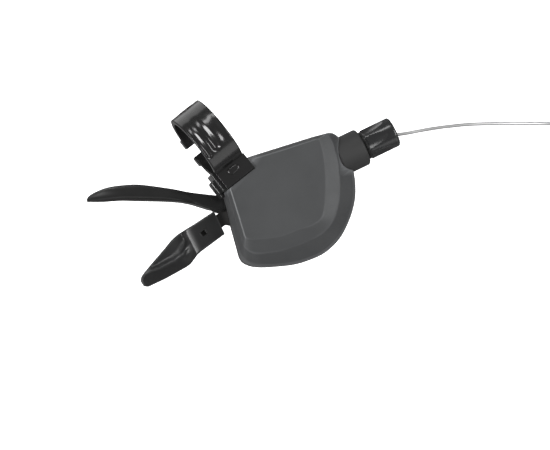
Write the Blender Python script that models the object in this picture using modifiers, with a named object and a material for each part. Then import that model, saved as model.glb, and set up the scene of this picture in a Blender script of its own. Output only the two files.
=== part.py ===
"""Right-hand trigger shifter for a flat handlebar, as separate parts.

Metres. The origin is the centre of the handlebar bore at the middle of the clamp band.
+X runs along the handlebar towards its middle, +Y away from the shifter's body,
and +Z is the outward normal of the top cover's flat face.
"""
import bmesh
import bpy
import math
from mathutils import Matrix, Vector

MM = 0.001
MERGE = 0.00002

# Clamp on the handlebar
BAR_R = 11.1 * MM
BAND_R = 13.2 * MM
BAND_HALF_WIDTH = 6.0 * MM
BAND_GAP = 3.8 * MM
EAR_DEPTH = 19.6 * MM
EAR_THICK = 4.0 * MM
PINCH_Z = -16.2 * MM
FOOT_X = (-7.2 * MM, 6.4 * MM)
FOOT_Y = (-18.5 * MM, -11.6 * MM)
FOOT_Z = (-8.6 * MM, 5.6 * MM)

# Main pivot, and the line of the shift wire through the barrel
PIVOT = Vector((8.5, -39.3, 0.0)) * MM
WIRE_DIR = Vector((0.976, -0.218, 0.0)).normalized()
WIRE_SIDE = Vector((0.218, 0.976, 0.0)).normalized()
WIRE_Z = -5.0 * MM
GROOVE_R = 10.6 * MM
WIRE_R = 0.6 * MM

# Levels of the stack on the axle, from the cover down
COVER_TOP = 4.6 * MM
COVER_RIM = -9.5 * MM
WALL = 1.6 * MM
BRACKET_Z = (-0.2 * MM, 1.3 * MM)
RATCHET_Z = (-8.9 * MM, -7.7 * MM)
MAIN_Z = (-11.5 * MM, -9.9 * MM)
RELEASE_Z = (-15.0 * MM, -13.6 * MM)
LOWER_Z = (-18.1 * MM, -16.9 * MM)
NUT_Z = (-20.8 * MM, -18.4 * MM)
FLOOR_Z = -22.9 * MM
HOLE_R = 2.6 * MM

# Ratchet and pawls
TEETH = 18
TOOTH_TIP = 13.0 * MM
TOOTH_ROOT = 11.4 * MM
PAWL_Z = (-8.8 * MM, -7.8 * MM)
WINDING_PIN = (15.7 * MM, 175.0)
HOLDING_PIN = (16.8 * MM, -8.0)
PAWL_PIN_R = 1.2 * MM

# Barrel adjuster, as distances along the wire from the spool's tangent point
BOSS_START = 20.0 * MM
BOSS_END = 32.0 * MM
BOSS_R = 6.65 * MM
KNOB_START = 34.0 * MM
KNOB_END = 44.9 * MM
KNOB_R = 5.5 * MM
STEM_R = 2.9 * MM
STEM_BORE = 1.5 * MM
SOCKET_R = 3.2 * MM
SOCKET_DEPTH = 7.0 * MM
FLUTES = 6

# Screws
POSTS = ((24.0 * MM, -25.5 * MM), (21.7 * MM, -46.9 * MM))
COVER_BOSSES = ((12.0 * MM, -24.4 * MM), (22.0 * MM, -36.8 * MM))
POST_R = 1.9 * MM
PORT = (9.0 * MM, -49.0 * MM)
SCREW_R = 0.9 * MM

# Free shift wire: 1.9 m in all, from the knob to the end cap
FREE_ROUTE = (
    (50.4, -37.8, -5.0),
    (52.6, -38.8, -5.0),
    (54.8, -40.2, -5.0),
    (57.6, -41.9, -5.0),
    (62.4, -44.4, -5.0),
    (67.2, -47.0, -5.0),
    (71.9, -49.8, -5.1),
    (76.5, -52.7, -5.4),
    (81.0, -55.8, -5.9),
    (88.0, -60.9, -7.2),
    (96.0, -66.9, -9.8),
    (102.8, -71.9, -13.4),
    (108.5, -76.1, -19.0),
    (112.1, -78.8, -26.2),
    (113.4, -79.8, -34.0),
    (113.4, -79.8, -42.0),
)
COIL_R = 16.0 * MM
COIL_BUNDLE_R = 3.2 * MM
COIL_HEADING = Vector((0.8, -0.6, 0.0))
COIL_CENTRE = Vector((126.2, -89.4, -54.4)) * MM

ROUND = 30

parts = None
cutters = None


def clear_scene():
    for thing in list(bpy.data.objects):
        bpy.data.objects.remove(thing, do_unlink=True)


def collection(name):
    made = bpy.data.collections.new(name)
    bpy.context.scene.collection.children.link(made)
    return made


def material(name, colour, roughness, metallic=0.0):
    made = bpy.data.materials.new(name)
    made.use_nodes = True
    shader = made.node_tree.nodes["Principled BSDF"]
    shader.inputs["Base Color"].default_value = (*colour, 1.0)
    shader.inputs["Roughness"].default_value = roughness
    shader.inputs["Metallic"].default_value = metallic
    return made


def finish(thing, colour, roughness, metallic=0.0):
    """Give a part its material and smooth its round faces."""
    thing.data.materials.clear()
    thing.data.materials.append(material(thing.name, colour, roughness, metallic))
    thing.data.shade_smooth()
    thing.data.set_sharp_from_angle(angle=math.radians(35))
    return thing


def cover_paint(thing):
    return finish(thing, (0.075, 0.077, 0.081), 0.5, 0.3)


def black_plastic(thing):
    return finish(thing, (0.020, 0.021, 0.023), 0.35)


def steel(thing):
    return finish(thing, (0.42, 0.42, 0.43), 0.32, 1.0)


def dark_steel(thing):
    return finish(thing, (0.08, 0.08, 0.085), 0.4, 1.0)


def brass(thing):
    return finish(thing, (0.55, 0.42, 0.18), 0.35, 1.0)


def white_plastic(thing):
    return finish(thing, (0.55, 0.55, 0.52), 0.45)


def link(thing, as_cutter=False):
    if as_cutter:
        thing.hide_render = True
        thing.display_type = "WIRE"
        cutters.objects.link(thing)
    else:
        parts.objects.link(thing)
    return thing


def object_from(name, bm, as_cutter=False):
    mesh = bpy.data.meshes.new(name)
    bm.to_mesh(mesh)
    bm.free()
    return link(bpy.data.objects.new(name, mesh), as_cutter)


def box(name, low, high, as_cutter=False):
    bm = bmesh.new()
    bmesh.ops.create_cube(bm, size=1.0)
    size = [h - l for l, h in zip(low, high)]
    middle = [(h + l) / 2 for l, h in zip(low, high)]
    bmesh.ops.scale(bm, vec=size, verts=bm.verts)
    bmesh.ops.translate(bm, vec=middle, verts=bm.verts)
    return object_from(name, bm, as_cutter)


def rod(name, start, end, radius, end_radius=None, sides=ROUND, as_cutter=False):
    """A cylinder or cone from one point to another."""
    start = Vector(start)
    along = Vector(end) - start
    bm = bmesh.new()
    top = radius if end_radius is None else end_radius
    bmesh.ops.create_cone(
        bm, cap_ends=True, segments=sides, radius1=radius, radius2=top, depth=along.length
    )
    turn = Vector((0, 0, 1)).rotation_difference(along.normalized()).to_matrix().to_4x4()
    place = Matrix.Translation(start + along / 2) @ turn
    bmesh.ops.transform(bm, matrix=place, verts=bm.verts)
    return object_from(name, bm, as_cutter)


def upright(name, centre, z_range, radius, sides=ROUND, as_cutter=False):
    """A cylinder along Z."""
    low = Vector((centre[0], centre[1], z_range[0]))
    high = Vector((centre[0], centre[1], z_range[1]))
    return rod(name, low, high, radius, sides=sides, as_cutter=as_cutter)


def mesh_of(curve_object, as_cutter=False):
    """Turn a curve object into a closed mesh object of the same name and place."""
    name = curve_object.name
    bpy.context.view_layer.update()
    depsgraph = bpy.context.evaluated_depsgraph_get()
    mesh = bpy.data.meshes.new_from_object(curve_object.evaluated_get(depsgraph))
    bm = bmesh.new()
    bm.from_mesh(mesh)
    bmesh.ops.remove_doubles(bm, verts=bm.verts, dist=MERGE / 4)
    bmesh.ops.recalc_face_normals(bm, faces=bm.faces)
    bm.to_mesh(mesh)
    bm.free()
    place = curve_object.matrix_world.copy()
    bpy.data.objects.remove(curve_object, do_unlink=True)
    solid = bpy.data.objects.new(name, mesh)
    solid.matrix_world = place
    return link(solid, as_cutter)


def plate(name, outline, z_range, as_cutter=False, place=None):
    """A flat outline in XY, raised from one level to another."""
    curve = bpy.data.curves.new(name, "CURVE")
    curve.dimensions = "2D"
    curve.fill_mode = "BOTH"
    curve.extrude = (z_range[1] - z_range[0]) / 2
    spline = curve.splines.new("POLY")
    spline.points.add(len(outline) - 1)
    for point, (x, y) in zip(spline.points, outline):
        point.co = (x, y, 0.0, 1.0)
    spline.use_cyclic_u = True
    thing = bpy.data.objects.new(name, curve)
    middle = Matrix.Translation((0, 0, (z_range[0] + z_range[1]) / 2))
    thing.matrix_world = middle if place is None else place @ middle
    bpy.context.scene.collection.objects.link(thing)
    return mesh_of(thing, as_cutter)


def wire(name, points, radius, resolution=2, closed=False):
    """A round wire along a list of points."""
    curve = bpy.data.curves.new(name, "CURVE")
    curve.dimensions = "3D"
    curve.bevel_depth = radius
    curve.bevel_resolution = resolution
    curve.use_fill_caps = True
    spline = curve.splines.new("POLY")
    spline.points.add(len(points) - 1)
    for point, place in zip(spline.points, points):
        point.co = (*place, 1.0)
    spline.use_cyclic_u = closed
    thing = bpy.data.objects.new(name, curve)
    bpy.context.scene.collection.objects.link(thing)
    return mesh_of(thing)


def turned(name, profile, centre, steps=ROUND):
    """Turn a closed profile of (radius, z) about a Z axis; outer side listed top to bottom."""
    bm = bmesh.new()
    ring = [bm.verts.new((radius, 0.0, z)) for radius, z in profile]
    for one, other in zip(ring, ring[1:] + ring[:1]):
        bm.edges.new((one, other))
    thing = object_from(name, bm)
    thing.location = (centre[0], centre[1], 0.0)
    screw = thing.modifiers.new("turn", "SCREW")
    screw.axis = "Z"
    screw.angle = math.tau
    screw.steps = steps
    screw.render_steps = steps
    screw.use_merge_vertices = True
    screw.merge_threshold = MERGE
    return thing


def boolean(target, tool, operation):
    modifier = target.modifiers.new(tool.name, "BOOLEAN")
    modifier.operation = operation
    modifier.solver = "EXACT"
    modifier.object = tool
    return target


def cut(target, *tools):
    for tool in tools:
        boolean(target, tool, "DIFFERENCE")
    return target


def join(target, *tools):
    for tool in tools:
        boolean(target, tool, "UNION")
    return target


def polar(radius, degrees, centre=PIVOT):
    angle = math.radians(degrees)
    return (centre[0] + radius * math.cos(angle), centre[1] + radius * math.sin(angle))


def arc(centre, radius, start, end, count):
    step = (end - start) / (count - 1)
    return [polar(radius, start + step * index, centre) for index in range(count)]


def in_mm(points):
    return [tuple(value * MM for value in point) for point in points]


def smooth(points, per_span):
    """Points on a Catmull-Rom curve through the given ones, ends included."""
    nodes = [Vector(point) for point in points]
    nodes = [2 * nodes[0] - nodes[1]] + nodes + [2 * nodes[-1] - nodes[-2]]
    found = []
    for before, start, end, after in zip(nodes, nodes[1:], nodes[2:], nodes[3:]):
        for index in range(per_span):
            t = index / per_span
            found.append(
                0.5
                * (
                    2 * start
                    + (end - before) * t
                    + (2 * before - 5 * start + 4 * end - after) * t * t
                    + (3 * start - before - 3 * end + after) * t**3
                )
            )
    return [tuple(point) for point in found + [nodes[-2]]]


def hull_round(circles, count=14):
    """Convex outline round a set of circles (x, y, radius)."""
    cloud = []
    for x, y, radius in circles:
        cloud += arc((x, y), radius, 0, 360 - 360 / count, count)
    cloud.sort()
    sides = []
    for ordered in (cloud, cloud[::-1]):
        chain = []
        for point in ordered:
            while len(chain) > 1 and turn_of(chain[-2], chain[-1], point) <= 0:
                chain.pop()
            chain.append(point)
        sides += chain[:-1]
    return sides


def turn_of(a, b, c):
    return (b[0] - a[0]) * (c[1] - a[1]) - (b[1] - a[1]) * (c[0] - a[0])


def on_wire(distance, aside=0.0):
    """A point on the barrel's axis, measured from the spool's tangent point."""
    tangent = PIVOT + WIRE_SIDE * GROOVE_R
    place = tangent + WIRE_DIR * distance + WIRE_SIDE * aside
    return Vector((place.x, place.y, WIRE_Z))


# ---------------------------------------------------------------- covers

# Matching stations round the cover: flat face, facet line and widest outline, in mm.
COVER_STATIONS = (
    ((30.9, -24.4), (34.8, -24.7), (35.2, -24.4)),
    ((30.5, -25.4), (34.6, -25.9), (37.0, -25.6)),
    ((29.1, -28.5), (33.9, -29.0), (38.0, -28.8)),
    ((26.3, -33.3), (31.5, -34.5), (37.3, -33.8)),
    ((22.8, -38.1), (28.6, -38.9), (35.1, -40.0)),
    ((19.9, -41.5), (25.6, -42.9), (32.0, -45.3)),
    ((16.8, -44.7), (21.8, -46.8), (28.0, -49.8)),
    ((13.6, -46.9), (16.6, -50.2), (22.3, -53.8)),
    ((9.4, -46.7), (10.6, -51.2), (15.6, -56.7)),
    ((4.9, -44.9), (4.0, -49.9), (8.6, -57.4)),
    ((1.8, -44.0), (0.0, -48.6), (2.6, -56.1)),
    ((-2.0, -42.6), (-4.2, -47.0), (-3.0, -53.9)),
    ((-6.8, -39.8), (-8.6, -44.6), (-8.4, -50.5)),
    ((-10.4, -37.2), (-12.4, -41.8), (-13.4, -46.8)),
    ((-11.5, -35.8), (-13.8, -38.6), (-15.9, -43.5)),
    ((-11.5, -34.9), (-13.3, -36.0), (-16.4, -40.4)),
    ((-10.6, -32.6), (-12.3, -33.4), (-14.6, -35.6)),
    ((-9.0, -28.6), (-10.5, -29.0), (-11.7, -28.6)),
    ((-6.9, -23.2), (-8.3, -23.4), (-8.9, -22.7)),
    ((-5.0, -18.4), (-6.2, -18.3), (-6.8, -17.8)),
    ((-3.6, -15.2), (-4.2, -14.6), (-4.4, -14.2)),
    ((8.4, -15.6), (8.1, -14.6), (7.9, -13.7)),
    ((20.0, -20.1), (19.7, -19.1), (19.5, -18.1)),
    ((29.8, -23.7), (29.9, -23.0), (30.0, -22.1)),
)
FACET_Z = 2.9 * MM
WIDEST_Z = -2.0 * MM


def ring_at(level, z, grow=0.0):
    """One ring of cover stations; grow moves them away from the cover's middle."""
    middle = Vector((10.0, -36.0))
    ring = []
    for station in COVER_STATIONS:
        point = Vector(station[level])
        away = (point - middle).normalized()
        point += away * grow
        ring.append((point.x * MM, point.y * MM, z))
    return ring


def lofted(name, rings, thickness):
    """A cap and a skirt through rings of equal length, made a shell inwards."""
    bm = bmesh.new()
    rows = [[bm.verts.new(point) for point in ring] for ring in rings]
    bm.faces.new(rows[0])
    count = len(rows[0])
    for upper, lower in zip(rows, rows[1:]):
        for index in range(count):
            after = (index + 1) % count
            bm.faces.new((upper[index], upper[after], lower[after], lower[index]))
    bmesh.ops.recalc_face_normals(bm, faces=bm.faces)
    thing = object_from(name, bm)
    shell = thing.modifiers.new("shell", "SOLIDIFY")
    shell.thickness = thickness
    shell.offset = -1.0
    shell.use_even_offset = True
    return thing


def barrel_hole(name):
    radius = BOSS_R + 0.3 * MM
    return rod(name, on_wire(17 * MM), on_wire(36 * MM), radius, as_cutter=True)


def foot_space(name):
    low = (FOOT_X[0] - 0.4 * MM, FOOT_Y[0] - 0.4 * MM, -30 * MM)
    high = (FOOT_X[1] + 0.4 * MM, 5 * MM, 12 * MM)
    return box(name, low, high, as_cutter=True)


def make_top_cover():
    rings = [
        ring_at(0, COVER_TOP),
        ring_at(1, FACET_Z),
        ring_at(2, WIDEST_Z),
        ring_at(2, COVER_RIM, grow=-0.5),
    ]
    cover = lofted("top_cover", rings, WALL)
    for index, (x, y) in enumerate(COVER_BOSSES):
        post = upright(f"cover_boss_{index}", (x, y), (1.6 * MM, 3.6 * MM), 1.9 * MM, 20, True)
        bore = upright(f"cover_bore_{index}", (x, y), (0, 3.1 * MM), 1.15 * MM, 16, True)
        join(cover, post)
        cut(cover, bore)
    post_room = upright("post_room", POSTS[1], (-12 * MM, 0.3 * MM), POST_R + 0.3 * MM, 20, True)
    cut(cover, post_room)
    cut(cover, foot_space("foot_space_in_cover"), barrel_hole("barrel_hole_in_cover"))
    return cover_paint(cover)


def make_bottom_cover():
    rings = [
        ring_at(2, FLOOR_Z, grow=-6.5),
        ring_at(2, -20.6 * MM, grow=-1.4),
        ring_at(2, -9.9 * MM, grow=-1.4),
    ]
    cover = lofted("bottom_cover", rings, 1.4 * MM)
    window = box(
        "lever_window", (-30 * MM, -70 * MM, -15.6 * MM), (6 * MM, 0, 0), as_cutter=True
    )
    cut(cover, window, foot_space("foot_space_in_base"), barrel_hole("barrel_hole_in_base"))
    for index, (x, y) in enumerate(POSTS):
        hole = upright(f"base_hole_{index}", (x, y), (-30 * MM, -17 * MM), 2.2 * MM, 20, True)
        cut(cover, hole)
    port = upright("cable_port", PORT, (-30 * MM, -19 * MM), 2.9 * MM, 24, True)
    cut(cover, port)
    return black_plastic(cover)


def make_port_plug():
    """A cap in the bottom cover, taken out to thread a new wire."""
    profile = ((3.7, -23.2), (3.7, -24.0), (0.0, -24.0), (0.0, -20.6), (2.6, -20.6), (2.6, -23.2))
    plug = turned("cable_port_plug", in_mm(profile), PORT, 24)
    return black_plastic(plug)


# ---------------------------------------------------------------- frame


def make_base_bracket():
    outline = [(x, y) for x, y, _ in ring_at(1, 0.0, grow=-2.7)]
    bracket = plate("base_bracket", outline, BRACKET_Z)
    cut(bracket, foot_space("foot_space_in_bracket"))
    lug = box("lug", (-3.2 * MM, -25.4 * MM, -4 * MM), (5 * MM, -18.9 * MM, 2.6 * MM), True)
    boss = rod("boss", on_wire(BOSS_START), on_wire(BOSS_END), BOSS_R, as_cutter=True)
    join(bracket, lug, boss)
    tab = hull_round(((20 * MM, -44.5 * MM, 2 * MM), (*POSTS[1], POST_R)), 20)
    join(bracket, plate("rear_post_tab", tab, (-2.2 * MM, 0.0), as_cutter=True))
    for index, place in enumerate(POSTS):
        post = upright(f"post_{index}", place, (-16.6 * MM, 0.0), POST_R, 20, True)
        join(bracket, post)
    neck = rod("insert_seat", on_wire(BOSS_START + 3 * MM), on_wire(40 * MM), 4.5 * MM,
               as_cutter=True)
    throat = rod("wire_throat", on_wire(0), on_wire(26 * MM), 3.3 * MM, as_cutter=True)
    axle_hole = upright("bracket_axle_hole", PIVOT, (-2 * MM, 3 * MM), 2.7 * MM, as_cutter=True)
    screw_hole = rod("lug_hole", (0, -26 * MM, 0), (0, -18 * MM, 0), 2.2 * MM, sides=24,
                     as_cutter=True)
    cut(bracket, neck, throat, axle_hole, screw_hole)
    for index, place in enumerate(COVER_BOSSES):
        hole = upright(f"bracket_hole_{index}", place, (-5 * MM, 2.4 * MM), 1.2 * MM, 16, True)
        cut(bracket, hole)
    for index, place in enumerate(POSTS):
        hole = upright(f"post_hole_{index}", place, (-17 * MM, -9 * MM), 1.15 * MM, 16, True)
        cut(bracket, hole)
    return cover_paint(bracket)


def make_lower_plate():
    outline = hull_round(
        (
            (PIVOT.x, PIVOT.y, 7.5 * MM),
            (*POSTS[0], 2.3 * MM),
            (*POSTS[1], 2.1 * MM),
            (*polar(*HOLDING_PIN), 2.6 * MM),
        ),
        20,
    )
    lower = plate("lower_plate", outline, LOWER_Z)
    cut(lower, upright("lower_axle_hole", PIVOT, (-20 * MM, -15 * MM), 2.7 * MM, as_cutter=True))
    for index, place in enumerate(POSTS):
        hole = upright(f"lower_hole_{index}", place, (-20 * MM, -15 * MM), 1.2 * MM, 16, True)
        cut(lower, hole)
    pin_hole = upright("lower_pin_hole", polar(*HOLDING_PIN), (-20 * MM, -15 * MM), 1.5 * MM, 20,
                       True)
    cut(lower, pin_hole)
    return steel(lower)


def make_axle_parts():
    profile = (
        (4.2, 2.7), (4.2, 1.6), (2.4, 1.6), (2.4, -21.2), (0.0, -21.2), (0.0, 2.7),
    )
    axle = turned("main_axle", in_mm(profile), PIVOT)
    steel(axle)
    nut = upright("axle_nut", PIVOT, NUT_Z, 4.4 * MM, 6)
    cut(nut, upright("nut_bore", PIVOT, (-22 * MM, -17 * MM), HOLE_R, as_cutter=True))
    steel(nut)
    for name, outer, z_range in (
        ("thrust_washer", 5.4, (-9.65, -9.15)),
        ("lever_washer", 5.2, (-13.35, -11.85)),
        ("release_bush", 3.9, (-16.65, -15.3)),
        ("spool_bush", 3.7, (-2.3, -0.5)),
    ):
        top = z_range[1]
        low = z_range[0]
        ring = turned(name, in_mm(((outer, top), (outer, low), (2.6, low), (2.6, top))), PIVOT)
        dark_steel(ring)


def coil_points(centre, radius, z_top, pitch, start, degrees, legs):
    """A torsion spring: a coil about Z with straight legs at its two ends."""
    count = int(abs(degrees) / 15)
    turns = []
    for index in range(count + 1):
        angle = start + degrees * index / count
        x, y = polar(radius, angle, centre)
        turns.append((x, y, z_top - pitch * abs(degrees) * index / count / 360))
    first = [(*legs[0], turns[0][2])]
    last = [(*legs[1], turns[-1][2])]
    return first + turns + last


def torsion_spring(name, radius, z_top, pitch, start, degrees, wire_radius, leg):
    """A coil about the axle whose ends turn outwards by a short leg."""
    turns = coil_points(
        PIVOT,
        radius,
        z_top,
        pitch,
        start,
        degrees,
        (polar(radius + leg, start - 8), polar(radius + leg, start + degrees + 8)),
    )
    return steel(wire(name, turns, wire_radius, 1))


# ---------------------------------------------------------------- clamp


def make_clamp_band():
    half_gap = BAND_GAP / 2
    outer_gap = math.degrees(math.asin((half_gap + EAR_THICK) / BAND_R))
    inner_gap = math.degrees(math.asin(half_gap / BAR_R))
    # The outline lies in the band's own plane: first value Y, second value Z.
    outer = arc((0, 0), BAND_R, -90 + outer_gap, 270 - outer_gap, 56)
    inner = arc((0, 0), BAR_R, 270 - inner_gap, -90 + inner_gap, 56)
    left_ear = [(-half_gap - EAR_THICK, -EAR_DEPTH), (-half_gap, -EAR_DEPTH)]
    right_ear = [(half_gap, -EAR_DEPTH), (half_gap + EAR_THICK, -EAR_DEPTH)]
    outline = outer + left_ear + inner + right_ear
    lay = Matrix(((0, 0, 1, 0), (1, 0, 0, 0), (0, 1, 0, 0), (0, 0, 0, 1)))
    band = plate("clamp_band", outline, (-BAND_HALF_WIDTH, BAND_HALF_WIDTH), place=lay)
    foot = box(
        "foot",
        (FOOT_X[0], FOOT_Y[0], FOOT_Z[0]),
        (FOOT_X[1], FOOT_Y[1], FOOT_Z[1]),
        as_cutter=True,
    )
    pocket = rod("head_pocket", (0, -9 * MM, 0), (0, -15.2 * MM, 0), 3.6 * MM, as_cutter=True)
    through = rod("foot_hole", (0, -14 * MM, 0), (0, -20 * MM, 0), 2.2 * MM, as_cutter=True)
    access = rod("access_hole", (0, 9 * MM, 0), (0, 16 * MM, 0), 2.6 * MM, as_cutter=True)
    bolt_hole = rod(
        "bolt_hole", (0, -9 * MM, PINCH_Z), (0, 9 * MM, PINCH_Z), 2.25 * MM, as_cutter=True
    )
    join(band, foot)
    cut(band, pocket, through, access, bolt_hole)
    return black_plastic(band)


def socket_screw(name, start, end, radius, head_radius, head_height, key_radius):
    """A cap screw whose head stands behind its start point, with a hexagon key hole."""
    start = Vector(start)
    end = Vector(end)
    along = (end - start).normalized()
    screw = rod(name, start - along * 0.05 * MM, end, radius, sides=24)
    head = rod(
        f"{name}_head", start - along * head_height, start, head_radius, sides=28, as_cutter=True
    )
    key = rod(
        f"{name}_key",
        start - along * (head_height + 1 * MM),
        start - along * head_height * 0.4,
        key_radius,
        sides=6,
        as_cutter=True,
    )
    join(screw, head)
    cut(screw, key)
    return steel(screw)


def make_clamp_fasteners():
    ear = BAND_GAP / 2 + EAR_THICK
    head_side = ear + 0.3 * MM
    nut_start = -ear - 0.3 * MM
    nut_end = nut_start - 2.8 * MM
    socket_screw(
        "clamp_bolt",
        (0, head_side, PINCH_Z),
        (0, nut_end - 0.6 * MM, PINCH_Z),
        1.95 * MM,
        3.4 * MM,
        3.0 * MM,
        1.6 * MM,
    )
    nut = rod("clamp_nut", (0, nut_start, PINCH_Z), (0, nut_end, PINCH_Z), 3.7 * MM, sides=6)
    bore = rod(
        "clamp_nut_bore", (0, -20 * MM, PINCH_Z), (0, 0, PINCH_Z), 2.25 * MM, as_cutter=True
    )
    cut(nut, bore)
    steel(nut)
    socket_screw(
        "clamp_fixing_screw",
        (0, -14.9 * MM, 0),
        (0, -24.6 * MM, 0),
        1.9 * MM,
        3.2 * MM,
        2.6 * MM,
        1.5 * MM,
    )


def pan_screw(name, place, head_z, tip_z, head_radius=1.8 * MM):
    """A small screw from below: head under, tip above."""
    x, y = place
    screw = upright(name, place, (head_z, tip_z), SCREW_R, 16)
    head = upright(
        f"{name}_head", place, (head_z - 1.0 * MM, head_z + 0.02 * MM), head_radius, 24, True
    )
    slot = box(
        f"{name}_slot",
        (x - 2 * MM, y - 0.25 * MM, head_z - 2 * MM),
        (x + 2 * MM, y + 0.25 * MM, head_z - 0.6 * MM),
        as_cutter=True,
    )
    join(screw, head)
    cut(screw, slot)
    return dark_steel(screw)


def make_screws():
    pan_screw("cover_screw_front", COVER_BOSSES[0], -0.6 * MM, 2.8 * MM)
    pan_screw("cover_screw_rear", COVER_BOSSES[1], -0.5 * MM, 2.8 * MM)
    pan_screw("bottom_screw_front", POSTS[0], LOWER_Z[0] - 0.3 * MM, -10 * MM)
    pan_screw("bottom_screw_rear", POSTS[1], LOWER_Z[0] - 0.3 * MM, -10 * MM)


# ---------------------------------------------------------------- levers


def make_main_lever():
    pin_place = polar(*WINDING_PIN)
    arm = hull_round(
        (
            (PIVOT.x, PIVOT.y, 8.2 * MM),
            (-12.5 * MM, -24.7 * MM, 1.8 * MM),
        ),
        24,
    )
    lever = plate("main_lever_plate", arm, MAIN_Z)
    ear = plate(
        "pawl_ear",
        hull_round(((PIVOT.x, PIVOT.y, 7.0 * MM), (*pin_place, 2.2 * MM)), 20),
        MAIN_Z,
        as_cutter=True,
    )
    tongue = plate(
        "pad_tongue",
        in_mm(((-11.0, -22.9), (-24.2, -22.2), (-24.2, -27.0), (-11.0, -27.7))),
        MAIN_Z,
        as_cutter=True,
    )
    join(lever, ear, tongue)
    axle_hole = upright("main_axle_hole", PIVOT, (-13 * MM, -9 * MM), HOLE_R, as_cutter=True)
    pin_hole = upright("winding_pin_hole", pin_place, (-13 * MM, -9 * MM), 1.5 * MM, 20, True)
    cut(lever, axle_hole, pin_hole)
    dark_steel(lever)

    arm_pad = in_mm(
        ((-13.7, -20.3), (-15.3, -24.8), (-15.6, -29.5), (-28.4, -29.4), (-28.4, -20.2))
    )
    paddle = in_mm(
        (
            (-24.6, -20.3), (-30.7, -19.8), (-36.5, -21.4), (-46.0, -22.3), (-47.6, -23.2),
            (-48.6, -25.0), (-48.2, -27.2), (-46.6, -28.0), (-34.5, -30.1), (-28.4, -29.6),
            (-24.6, -28.8),
        )
    )
    pad = plate("main_lever_pad", arm_pad, (-9.6 * MM, -7.0 * MM))
    join(pad, plate("paddle", paddle, (-19.5 * MM, -9.2 * MM), as_cutter=True))
    slot = box(
        "tongue_slot",
        (-24.5 * MM, -28.3 * MM, -11.8 * MM),
        (-10 * MM, -21.6 * MM, -9.6 * MM),
        as_cutter=True,
    )
    window = box(
        "pad_window",
        (-21.7 * MM, -25.6 * MM, -9 * MM),
        (-19.9 * MM, -23.8 * MM, -5 * MM),
        as_cutter=True,
    )
    cut(pad, slot, window)
    black_plastic(pad)


def make_release_lever():
    outline = hull_round(
        (
            (PIVOT.x, PIVOT.y, 7.4 * MM),
            (-10.6 * MM, -20.0 * MM, 2.2 * MM),
        ),
        24,
    )
    lever = plate("release_lever_plate", outline, RELEASE_Z)
    axle_hole = upright("release_axle_hole", PIVOT, (-17 * MM, -12 * MM), HOLE_R, as_cutter=True)
    tongue = plate(
        "blade_tongue",
        in_mm(((-8.8, -17.8), (-11.2, -20.2), (-18.6, -12.1), (-16.8, -10.4))),
        RELEASE_Z,
        as_cutter=True,
    )
    join(lever, tongue)
    cut(lever, axle_hole)
    dark_steel(lever)

    top = smooth(
        ((-8.1, -17.4), (-13.5, -12.0), (-19.6, -4.9), (-27.5, 2.9), (-36.2, 8.3), (-44.4, 9.9)), 3
    )
    under = smooth(
        ((-45.6, 9.4), (-40.9, 6.2), (-32.6, 0.9), (-25.3, -5.6), (-18.4, -11.7), (-11.6, -21.4)), 3
    )
    blade = plate("release_lever_blade", in_mm(top + under), (-21.5 * MM, -12.6 * MM))
    slot = plate(
        "blade_slot",
        in_mm(((-2.0, -12.4), (-8.4, -28.0), (-20.6, -13.6), (-20.6, -11.9), (-17.6, -9.9))),
        (RELEASE_Z[0] - 0.3 * MM, RELEASE_Z[1] + 0.3 * MM),
        as_cutter=True,
    )
    cut(blade, slot)
    black_plastic(blade)


# ---------------------------------------------------------------- ratchet


def ratchet_outline():
    """Saw teeth whose steep sides face clockwise."""
    step = 360 / TEETH
    outline = []
    for index in range(TEETH):
        start = index * step
        outline.append(polar(TOOTH_ROOT, start - 0.4))
        for share in (0.0, 0.35, 0.7):
            radius = TOOTH_TIP + (TOOTH_ROOT - TOOTH_TIP) * share
            outline.append(polar(radius, start + step * share))
    return outline


def make_spool():
    profile = (
        (11.8, -2.6), (11.8, -3.9), (10.0, -4.3), (10.0, -5.7), (11.8, -6.1), (11.8, -7.4),
        (2.6, -7.4), (2.6, -2.6),
    )
    spool = turned("cable_spool", in_mm(profile), PIVOT, 44)
    pocket = upright("head_pocket_in_spool", polar(9.4 * MM, 250), (-7 * MM, -3 * MM), 2.1 * MM,
                     20, True)
    cut(spool, pocket)
    white_plastic(spool)
    ratchet = plate("ratchet_plate", ratchet_outline(), RATCHET_Z)
    hole = upright("ratchet_hole", PIVOT, (-10 * MM, -7 * MM), HOLE_R, as_cutter=True)
    cut(ratchet, hole)
    steel(ratchet)
    wrap = [(*polar(GROOVE_R + 0.35 * MM, angle), WIRE_Z) for angle in range(118, 235, 9)]
    steel(wire("wire_wrap", wrap, WIRE_R, 1))
    steel(upright("wire_head", polar(9.4 * MM, 250), (-6.6 * MM, -3.4 * MM), 1.7 * MM, 20))


def pawl_outline(pin, nose_angle, lift):
    """A body round the pin, reaching to a nose in front of a tooth's steep side."""
    x, y = polar(*pin)
    nose = [
        polar(TOOTH_ROOT + lift + 0.6 * MM, nose_angle - 1.7),
        polar(TOOTH_ROOT + lift + 1.3 * MM, nose_angle - 5.0),
        polar(TOOTH_ROOT + lift + 2.6 * MM, nose_angle - 8.0),
        polar(TOOTH_ROOT + lift + 2.6 * MM, nose_angle - 2.0),
    ]
    toe = [(*point, 0.12 * MM) for point in nose]
    return hull_round(((x, y, 1.9 * MM), *toe), 16)


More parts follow.
